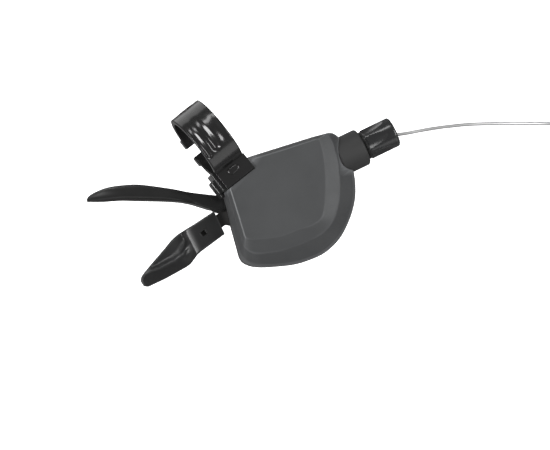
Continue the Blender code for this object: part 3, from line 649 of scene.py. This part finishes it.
def shell_rings(levels, radii, inner_levels):
    """Rings for a shell: down its outside and back up its inside. A level is (which, z, grow)."""
    columns = []
    for station in OUTLINE:
        outside = [Vector((*outline_point(station, which, grow), z)) for which, z, grow in levels]
        inside = [Vector((*outline_point(station, which, grow), z)) for which, z, grow in inner_levels]
        columns.append([point * MM for point in rounded(outside, radii) + inside])
    return [list(ring) for ring in zip(*columns)]


def foot_space():
    return block("foot_space", (FOOT_X[0] - 0.1, FOOT_Y[0], -30), (FOOT_X[1] + 0.05, 5, 12), 0)


def barrel_hole():
    return rod("barrel_hole", WIRE_START, WIRE_DIR, 16, 60, BARREL_HOLE_R, 64)



def make_top_cover():
    rings = shell_rings(
        (
            (0, COVER_TOP, -0.9), (0, COVER_TOP, 0.0), (1, FACET_Z, 0.0), (2, WIDEST_Z, 0.0),
            (2, COVER_RIM, -0.5), (2, COVER_RIM, -1.3),
        ),
        (0.45, 0.5, 1.6, 0.2),
        (
            (2, COVER_RIM, -2.1), (2, WIDEST_Z - 0.6, -COVER_WALL), (1, FACET_Z - 1.5, -1.3),
            (0, COVER_TOP - COVER_WALL, -1.0),
        ),
    )
    cover = loft("top_cover_shell", rings)
    cut(cover, foot_space(), barrel_hole())
    even_normals(cover)
    piece(cover, COVER_PAINT, "cover_paint", "housing", "top_cover")


def make_bottom_cover():
    rings = shell_rings(
        (
            (2, BASE_FLOOR, -7.5), (2, BASE_FLOOR, -6.5), (2, BASE_SIDE, -1.4), (2, BASE_RIM, -1.4),
            (2, BASE_RIM, -2.0),
        ),
        (1.2, 2.0, 0.2),
        (
            (2, BASE_RIM, -2.8), (2, BASE_SIDE + 0.4, -2.8), (2, BASE_FLOOR + 1.4, -7.0),
        ),
    )
    cover = loft("bottom_cover_shell", rings)
    window = block("lever_window", (-30, -70, -15.6), (6, 0, 0), 0)
    holes = [
        rod("screw_hole", Vector((x, y, 0)) * MM, Z_AXIS, -30, -17, 2.2, 40)
        for x, y in SCREW_PLACES
    ]
    port = rod("port_hole", Vector((*PORT_PLACE, 0)) * MM, Z_AXIS, -30, -19, 2.9, 40)
    cut(cover, window, foot_space(), barrel_hole(), port, *holes)
    even_normals(cover)
    piece(cover, SHELL_PLASTIC, "black_plastic", "housing", "bottom_cover")


make_top_cover()
make_bottom_cover()

# ---------------------------------------------------------------- the clamp

BAR_R = 11.1
BAND_R = 13.2
BAND_HALF = 6.0
BAND_GAP = 3.8
EAR_THICK = 4.0
EAR_DEPTH = 19.6
PINCH_Z = -16.2
RIM_ROUND = 0.35
BORE_ROUND = 0.3
BAND_COLUMNS = 96
# Steps round the band in degrees: fine from a little above the pockets to below them.
FINE_STEP = 0.7
COARSE_STEP = 3.0
FINE_LEAD = 20.0
FINE_UNTIL = 121.0
# The pockets start at this angle and deepen over the next POCKET_FADE degrees.
POCKET_FROM = 32.0
POCKET_FADE = 72.0
POCKET_WALL = 1.1
# Each pocket's middle, half width and depth in millimetres, and the angle at which it ends.
POCKETS = ((-4.45, 1.35, 0.55, 119.0), (-0.7, 2.05, 0.9, 117.0), (3.65, 1.9, 0.3, 112.0))


def pocket_depth(x, angle):
    """How far the band's outside is hollowed; angle is in degrees from +Y towards +Z."""
    arc = math.radians(angle) * BAND_R
    fade = ease((angle - POCKET_FROM) / POCKET_FADE)
    depth = 0.0
    for middle, half, deep, end in POCKETS:
        past = max(arc - (math.radians(end) * BAND_R - half), 0.0)
        share = 1 - math.hypot(x - middle, past) / half
        depth = max(depth, deep * fade * ease(share * POCKET_WALL))
    return depth


def band_point(x, r, angle):
    turn = math.radians(angle)
    return Vector((x, r * math.cos(turn), r * math.sin(turn))) * MM


def make_band():
    gap = math.degrees(math.asin((BAND_GAP / 2 + 0.4) / BAND_R))
    fine_from = POCKET_FROM - FINE_LEAD
    angles = []
    angle = -90 + gap
    while angle < 270 - gap:
        angles.append(angle)
        angle += FINE_STEP if fine_from < angle < FINE_UNTIL else COARSE_STEP
    angles.append(270 - gap)
    width = 2 * BAND_HALF - 2 * RIM_ROUND
    across = [-BAND_HALF + RIM_ROUND + width * k / BAND_COLUMNS for k in range(BAND_COLUMNS + 1)]
    rising = (
        (-BAND_HALF, BAR_R + BORE_ROUND), (-BAND_HALF, BAND_R - RIM_ROUND),
        (-BAND_HALF + 0.1, BAND_R - 0.1),
    )
    falling = (
        (BAND_HALF - 0.1, BAND_R - 0.1), (BAND_HALF, BAND_R - RIM_ROUND),
        (BAND_HALF, BAR_R + BORE_ROUND), (BAND_HALF - BORE_ROUND, BAR_R),
        (-BAND_HALF + BORE_ROUND, BAR_R),
    )
    rings = []
    for angle in angles:
        ring = [band_point(x, r, angle) for x, r in rising]
        ring += [band_point(x, BAND_R - pocket_depth(x, angle), angle) for x in across]
        ring += [band_point(x, r, angle) for x, r in falling]
        rings.append(ring)
    return loft("band", rings, angle=65)


def bar_space(radius):
    return rod("bar_space", Vector((0, 0, 0)), X_AXIS, -9, 9, radius, 96)


def make_ear(side):
    near = side * BAND_GAP / 2
    far = side * (BAND_GAP / 2 + EAR_THICK)
    outline = []
    for index in range(13):
        angle = math.pi * index / 12
        outline.append((BAND_HALF * math.cos(angle), -EAR_DEPTH + 3.4 * (1 - math.sin(angle))))
    outline += [(-BAND_HALF, -10.6), (BAND_HALF, -10.6)]
    levels = ((near, 0.3), (near + side * 0.3, 0.0), (far - side * 0.5, 0.0), (far, 0.5))
    rings = []
    for y, inset in levels:
        rings.append([
            Vector((x * (1 - inset / BAND_HALF), y, z + (inset if z < -15 else 0))) * MM
            for x, z in outline
        ])
    ear = loft(f"ear_{'front' if side > 0 else 'rear'}", rings)
    bolt_hole = rod("bolt_hole", Z_AXIS * PINCH_Z * MM, Y_AXIS, -9, 9, 2.25)
    cut(ear, bolt_hole, bar_space(BAR_R))
    return ear


OVAL_Y = -14.05
# Heights of the oval above the foot, and how far it stands out there.
OVAL_PROFILE = ((-0.4, 0.2), (0.15, 0.15), (0.38, -0.1), (0.5, -0.45), (0.54, -0.85))


def make_foot():
    """The block that joins the clamp to the body, with a raised oval on its upper face."""
    low = (FOOT_X[0] + 1.2, FOOT_Y[0] + FOOT_GAP, FOOT_Z[0])
    high = (FOOT_X[1], FOOT_Y[1], FOOT_Z[1])
    foot = block("foot_block", low, high, 0.2)
    foot_hole = rod("foot_hole", Vector((0, 0, 0)), Y_AXIS, -20, -9, 2.2)
    cut(foot, bar_space(BAR_R + 1.0), foot_hole)
    outline = []
    for index in range(40):
        turn = math.tau * index / 40
        flat_end = math.copysign(min(abs(math.cos(turn)) * 9, 0.9), math.cos(turn))
        outline.append((1.4 * math.cos(turn) + flat_end, 1.15 * math.sin(turn)))
    rim = []
    for height, grow in OVAL_PROFILE:
        wide = 1 + grow / 3.5
        deep = 1 + grow / 1.3
        rim.append([
            Vector((a * wide, OVAL_Y + b * deep, FOOT_Z[1] + height)) * MM for a, b in outline
        ])
    x = FOOT_X[0]
    y = FOOT_Y[0]
    flank = block("foot_flank", (x - 0.2, y, FOOT_Z[0]), (-5.5, -10.5, 3.4), 0.5)
    heel = block("foot_heel", (x - 1.7, y, -7.6), (-6.0, -12.6, -1.0), 0.9)
    spur = block("foot_spur", (x - 1.5, y - 1.1, -7.4), (x - 0.2, -16, -1.4), 0.4)
    root = block("foot_root", (x + 1.2, y, FOOT_Z[0]), (FOOT_X[1], y + 1, 3.2), 0)
    return [foot, flank, heel, spur, root, loft("oval_rim", rim)]


def make_clamp():
    band = make_band()
    middle = Vector((0, 0, 0))
    access_hole = rod("access_hole", middle, Y_AXIS, 9, 16, 2.6)
    head_pocket = rod("head_pocket", middle, Y_AXIS, -15.2, -9, 3.6)
    cut(band, access_hole, head_pocket, angle=65)
    collar = turned(
        "access_collar",
        [(12.4, 2.65), (13.15, 2.65), (13.25, 2.8), (13.2, 3.5), (12.9, 3.9), (12.4, 3.9)],
        middle, Y_AXIS, 48,
    )
    shells = [band, collar, make_ear(1), make_ear(-1), *make_foot()]
    clamp = merged("clamp_band_body", shells, angle=65)
    even_normals(clamp)
    piece(clamp, CLAMP_PLASTIC, "clamp_black", "housing", "clamp_band")


make_clamp()

# ---------------------------------------------------------------- levers

# How far in the underside's edges stand, as a share of the width.
LEVER_TUCK = 0.05


def lever_body(name, stations, top, bottom, fillet, spans, across):
    """A solid between two edges. stations pairs a point of one edge with one of the other. top gives
    heights from the place and the share of the way across, and bottom from the place."""
    flat = [(*one, *other) for one, other in stations]
    lines = flow(flat, spans)
    shares = [0.0, 0.004, 0.012, 0.025, 0.045] + [k / across for k in range(2, across - 1)]
    shares += [0.955, 0.975, 0.988, 0.996, 1.0]
    rings = []
    for ax, ay, bx, by in lines:
        one = Vector((ax, ay))
        other = Vector((bx, by))
        width = (other - one).length
        ring = []
        for share in shares:
            place = one.lerp(other, share)
            edge = min(share, 1 - share) * width
            drop = 0.0
            if edge < fillet:
                drop = fillet - math.sqrt(max(fillet**2 - (fillet - edge) ** 2, 0.0))
            ring.append(Vector((*place, top(place, share) - drop)) * MM)
        for share in reversed(shares[::3] + [1.0]):
            place = one.lerp(other, LEVER_TUCK + share * (1 - 2 * LEVER_TUCK))
            ring.append(Vector((*place, bottom(place))) * MM)
        rings.append(ring)
    return loft(name, rings, angle=38)


THUMB_STATIONS = (
    ((-13.0, -21.2), (-15.0, -30.0)), ((-20.0, -20.6), (-21.4, -29.8)),
    ((-24.4, -20.1), (-26.4, -29.7)), ((-27.4, -19.7), (-28.8, -30.3)),
    ((-30.8, -19.9), (-31.0, -30.8)), ((-34.5, -20.7), (-34.6, -30.3)),
    ((-40.3, -21.8), (-40.4, -29.3)), ((-45.2, -22.8), (-45.6, -28.1)),
    ((-46.7, -23.4), (-47.0, -27.6)), ((-47.6, -24.6), (-47.8, -26.6)),
)
ARM_TOP = -7.0
ARM_BOTTOM = -9.6
PADDLE_BOTTOM = -19.3
LIP_Z = -10.6
LIP_HIGH = 0.5
RECESS_DEEP = 1.1
FLANK_DROP = 5.0
TIP_DROP = 1.6
# How far across the paddle its lip runs, at distances from the clamp's middle in millimetres.
LIP_SHARES = ((26.5, 0.48), (28.5, 0.52), (31.0, 0.58), (34.5, 0.58), (40.3, 0.44), (45.4, 0.16),
              (47.6, 0.1))


# How far past the crease the wall ends, at shares of the way across.
WALL_FOOT = ((0.0, 2.7), (0.35, 2.8), (0.48, 4.4), (0.56, 7.2), (0.7, 9.4), (1.0, 9.4))


def past_crease(place):
    """How far a place lies beyond the arm's bend, in millimetres."""
    return (-23.9 - 0.22 * (-20.0 - place.y)) - place.x


# The arm rolls over from a little before its crease, and the wall drops from just past it.
ROLL_BEFORE = 2.0
ROLL_REACH = 3.4
ROLL_RATE = 0.07
WALL_FROM = 1.3
WALL_BOW = 1.7
LIP_WIDTH = 0.1
RECESS_RATE = 3.6
FLANK_BOW = 1.25
# Where the paddle starts to fall off towards its tip, and over what length.
TIP_FROM = 43.5
TIP_REACH = 4.5


def thumb_top(place, share):
    """A flat arm that rolls over into a steep wall, and a recess inside a lip beyond it."""
    past = past_crease(place)
    lip = polyline(LIP_SHARES, -place.x)
    height = LIP_Z
    if share > lip:
        height -= FLANK_DROP * ((share - lip) / (1 - lip)) ** FLANK_BOW
    height -= TIP_DROP * ease((-place.x - TIP_FROM) / TIP_REACH)
    height += LIP_HIGH * ease(1 - abs(share - lip) / LIP_WIDTH)
    height -= RECESS_DEEP * ease((lip - share) * RECESS_RATE)
    rolled = min(max(past + ROLL_BEFORE, 0.0), ROLL_REACH)
    arm = ARM_TOP - ROLL_RATE * rolled**2
    wall_length = polyline(WALL_FOOT, share) - WALL_FROM
    down = min(max((past - WALL_FROM) / wall_length, 0.0), 1.0)
    return blend(arm, height, 1 - (1 - down) ** WALL_BOW)


def thumb_bottom(place):
    return blend(ARM_BOTTOM, PADDLE_BOTTOM, ease((past_crease(place) - 0.7) / 2.2))


def make_thumb_lever():
    lever = lever_body("thumb_lever_pad", THUMB_STATIONS, thumb_top, thumb_bottom, fillet=0.7,
                       spans=12, across=34)
    cut(lever, block("pad_window", (-21.7, -26.0, -12), (-19.9, -24.2, -5), 0), angle=38)
    piece(lever, LEVER_PLASTIC, "lever_plastic", "main_lever", "main_lever_pad")


BLADE_STATIONS = (
    ((-5.8, -19.2), (-8.8, -23.6)), ((-8.3, -17.0), (-11.8, -21.2)),
    ((-14.6, -10.7), (-16.9, -13.9)), ((-19.1, -5.5), (-21.9, -8.9)),
    ((-26.7, 2.3), (-30.3, -2.0)), ((-31.5, 5.9), (-35.0, 1.8)),
    ((-36.7, 8.9), (-39.6, 4.9)), ((-41.0, 10.3), (-42.6, 7.2)),
    ((-43.6, 10.6), (-44.4, 8.7)), ((-44.9, 10.1), (-45.2, 9.2)),
)
BLADE_TOP = -12.7
BLADE_BOTTOM = -21.2
BLADE_ROOT_BOTTOM = -13.5


BLADE_CROWN = 4.0
BLADE_CREST = 0.42
BLADE_CHAMFER = 0.75
TIP_LOWER = 2.4
TIP_RAISED = 4.6


def blade_top(place, share):
    """A crowned top with a chamfered lower edge that lies lower at its tip and flatter at its root."""
    root = ease((place.x + 15.9) / 0.5)
    crown = 0.8 * BLADE_CROWN * (share - BLADE_CREST) ** 2 * (1 - 0.8 * root)
    chamfer = BLADE_CHAMFER * max((share - 0.8) / 0.2, 0.0) * ease((-place.x - 18.0) / 8.0)
    tip = ease((-place.x - 34.0) / 12.5)
    return BLADE_TOP - crown - chamfer - TIP_LOWER * tip - 0.2 * root


def blade_bottom(place):
    """Deep along the blade, raised towards its tip, and thin where it enters the body."""
    tip = ease((-place.x - 30.0) / 16.0)
    root = ease((place.x + 12.5) / 1.5)
    return blend(BLADE_BOTTOM + TIP_RAISED * tip, BLADE_ROOT_BOTTOM, root)


def make_trigger_blade():
    blade = lever_body("release_blade", BLADE_STATIONS, blade_top, blade_bottom, fillet=0.5,
                       spans=9, across=20)
    piece(blade, BLADE_PLASTIC, "lever_plastic", "release_lever", "release_lever_blade")


make_thumb_lever()
make_trigger_blade()

# ---------------------------------------------------------------- barrel and adjuster

BOSS_R = 6.8
BOSS_FROM = 23.0
BOSS_TO = 32.8
KNOB_FROM = 34.0
KNOB_TO = 45.3
KNOB_R = 5.45
SEAL_R = 5.15
KNOB_ROUND = 0.9
SOCKET_R = 3.2
SOCKET_DEEP = 7.0
STEM_FROM = 26.0
STEM_R = 2.88
STEM_ROOT_R = 2.45
STEM_PITCH = 1.0
STEM_THREADS = 11
FLUTES = 6
# The scoops end at this share of the knob's length; their half width and depth are at its rear.
SCOOP_END = 0.74
SCOOP_HALF = 2.35
SCOOP_DEEP = 1.2


def make_barrel():
    """A smooth sleeve with a chamfered mouth over the bracket's boss."""
    profile = [
        (BOSS_FROM, 5.9), (BOSS_FROM, BOSS_R), (BOSS_TO - 0.9, BOSS_R), (BOSS_TO - 0.35, BOSS_R - 0.2),
        (BOSS_TO, BOSS_R - 0.7), (BOSS_TO, SEAL_R + 0.2), (BOSS_TO - 1.2, SEAL_R + 0.2),
        (BOSS_TO - 1.2, 5.9),
    ]
    barrel = turned("barrel_sleeve", profile, WIRE_START, WIRE_DIR, 96)
    even_normals(barrel)
    piece(barrel, BRACKET_PAINT, "bracket_paint", "housing")


def make_knob():
    """A knob with six scoops that start at its rear and run out along it, and its seal."""
    length = KNOB_TO - KNOB_FROM
    profile = [(KNOB_FROM, SOCKET_R), (KNOB_FROM, KNOB_R - 0.35), (KNOB_FROM + 0.12, KNOB_R - 0.1),
               (KNOB_FROM + 0.35, KNOB_R)]
    steps = 30
    for step in range(1, steps):
        profile.append((KNOB_FROM + 0.35 + (length - 1.5) * step / steps, KNOB_R))
    for step in range(6):
        turn = math.pi / 2 * step / 5
        along = KNOB_TO - KNOB_ROUND + KNOB_ROUND * math.sin(turn)
        profile.append((along, KNOB_R - KNOB_ROUND + KNOB_ROUND * math.cos(turn)))
    profile += [
        (KNOB_TO, SOCKET_R + 0.25), (KNOB_TO - 0.25, SOCKET_R), (KNOB_TO - SOCKET_DEEP, SOCKET_R),
    ]
    between = math.tau / FLUTES * KNOB_R

    def scooped(r, along, turn):
        reach = 1 - ((along - KNOB_FROM) / length / SCOOP_END) ** 2
        if r < SOCKET_R + 0.3 or reach <= 0:
            return r
        aside = abs((FLUTES * turn / math.tau) % 1 - 0.5) * between
        half = SCOOP_HALF * math.sqrt(reach)
        if aside >= half:
            return r
        return r - SCOOP_DEEP * reach * (1 - (aside / half) ** 2)

    knob = turned("adjuster_knob_body", profile, WIRE_START, WIRE_DIR, 192, scooped, angle=40)
    piece(knob, KNOB_PLASTIC, "knob_plastic", "adjuster", "adjuster_knob")
    seal = turned(
        "knob_seal",
        [(32.7, 3.2), (32.7, 4.1), (32.85, 4.3), (33.1, 4.3), (33.1, SEAL_R - 0.2), (33.3, SEAL_R),
         (33.5, SEAL_R), (33.6, SEAL_R - 0.15), (33.7, SEAL_R), (KNOB_FROM + 0.05, SEAL_R),
         (KNOB_FROM + 0.05, 3.2)],
        WIRE_START, WIRE_DIR,
    )
    piece(seal, TIE_PLASTIC, "black_plastic", "adjuster")


def make_stem():
    """The threaded stem between the barrel and the knob."""
    profile = [(STEM_FROM, 1.5), (STEM_FROM, 2.4)]
    for index in range(STEM_THREADS):
        at = STEM_FROM + 0.3 + index * STEM_PITCH
        profile += [(at, STEM_ROOT_R), (at + 0.35, STEM_R), (at + 0.5, STEM_R), (at + 0.85, STEM_ROOT_R)]
    profile += [(37.6, STEM_ROOT_R), (37.6, 1.5)]
    stem = turned("adjuster_stem_thread", profile, WIRE_START, WIRE_DIR, 48, angle=20)
    piece(stem, DARK_STEEL, "dark_steel", "adjuster", "adjuster_stem")


make_barrel()
make_knob()
make_stem()
finish_cad_nodes()

# ---------------------------------------------------------------- floor and light

FLOOR_Z = -0.12
FLOOR_GLOW = 0.9
WORLD_STRENGTH = 0.22
# Each light's name, its place to the right, up and towards the camera, its two sides (all in
# metres) and its power in watts.
LIGHTS = (
    ("key", (0.72, 0.15, 0.6), (0.6, 0.3), 5),
    ("left", (-0.6, -0.1, 0.78), (0.6, 0.32), 9),
    ("rim", (-0.6, 0.75, -0.4), (0.5, 1.0), 1.9),
    ("low", (-0.15, -0.9, 0.35), (0.8, 0.3), 0.4),
    ("top", (-0.25, 0.75, 0.62), (0.5, 0.2), 2.2),
    ("fill", (0.72, -0.61, 0.31), (0.3, 0.6), 0.6),
)


def make_floor():
    bm = bmesh.new()
    bmesh.ops.create_grid(bm, x_segments=1, y_segments=1, size=3.0)
    floor = object_of("floor", bm)
    floor.location.z = FLOOR_Z
    white = surface("floor_white", (0.9, 0.9, 0.9), 0.8, mottle=0.02, specular=0.1)
    shader = white.node_tree.nodes["Principled BSDF"]
    shader.inputs["Emission Color"].default_value = (1, 1, 1, 1)
    shader.inputs["Emission Strength"].default_value = FLOOR_GLOW
    floor.data.materials.append(white)
    # The camera sees the floor, but glossy surfaces don't mirror it.
    floor.visible_glossy = False
    floor.visible_shadow = False


def add_light(name, offsets, size, power):
    data = bpy.data.lights.new(name, "AREA")
    data.shape = "RECTANGLE"
    data.size = size[0]
    data.size_y = size[1]
    data.energy = power
    light = bpy.data.objects.new(name, data)
    right, up, towards = offsets
    place = TARGET + RIGHT * right + UP * up + TOWARDS * towards
    turn = (place - TARGET).to_track_quat("Z", "Y").to_matrix().to_4x4()
    light.matrix_world = Matrix.Translation(place) @ turn
    light.visible_camera = False
    bpy.context.scene.collection.objects.link(light)


def make_world():
    scene = bpy.context.scene
    world = bpy.data.worlds.new("studio")
    scene.world = world
    world.use_nodes = True
    sky = world.node_tree.nodes["Background"]
    sky.inputs["Color"].default_value = (1, 1, 1, 1)
    sky.inputs["Strength"].default_value = WORLD_STRENGTH
    scene.view_settings.view_transform = "Standard"


make_floor()
for light_facts in LIGHTS:
    add_light(*light_facts)
make_world()
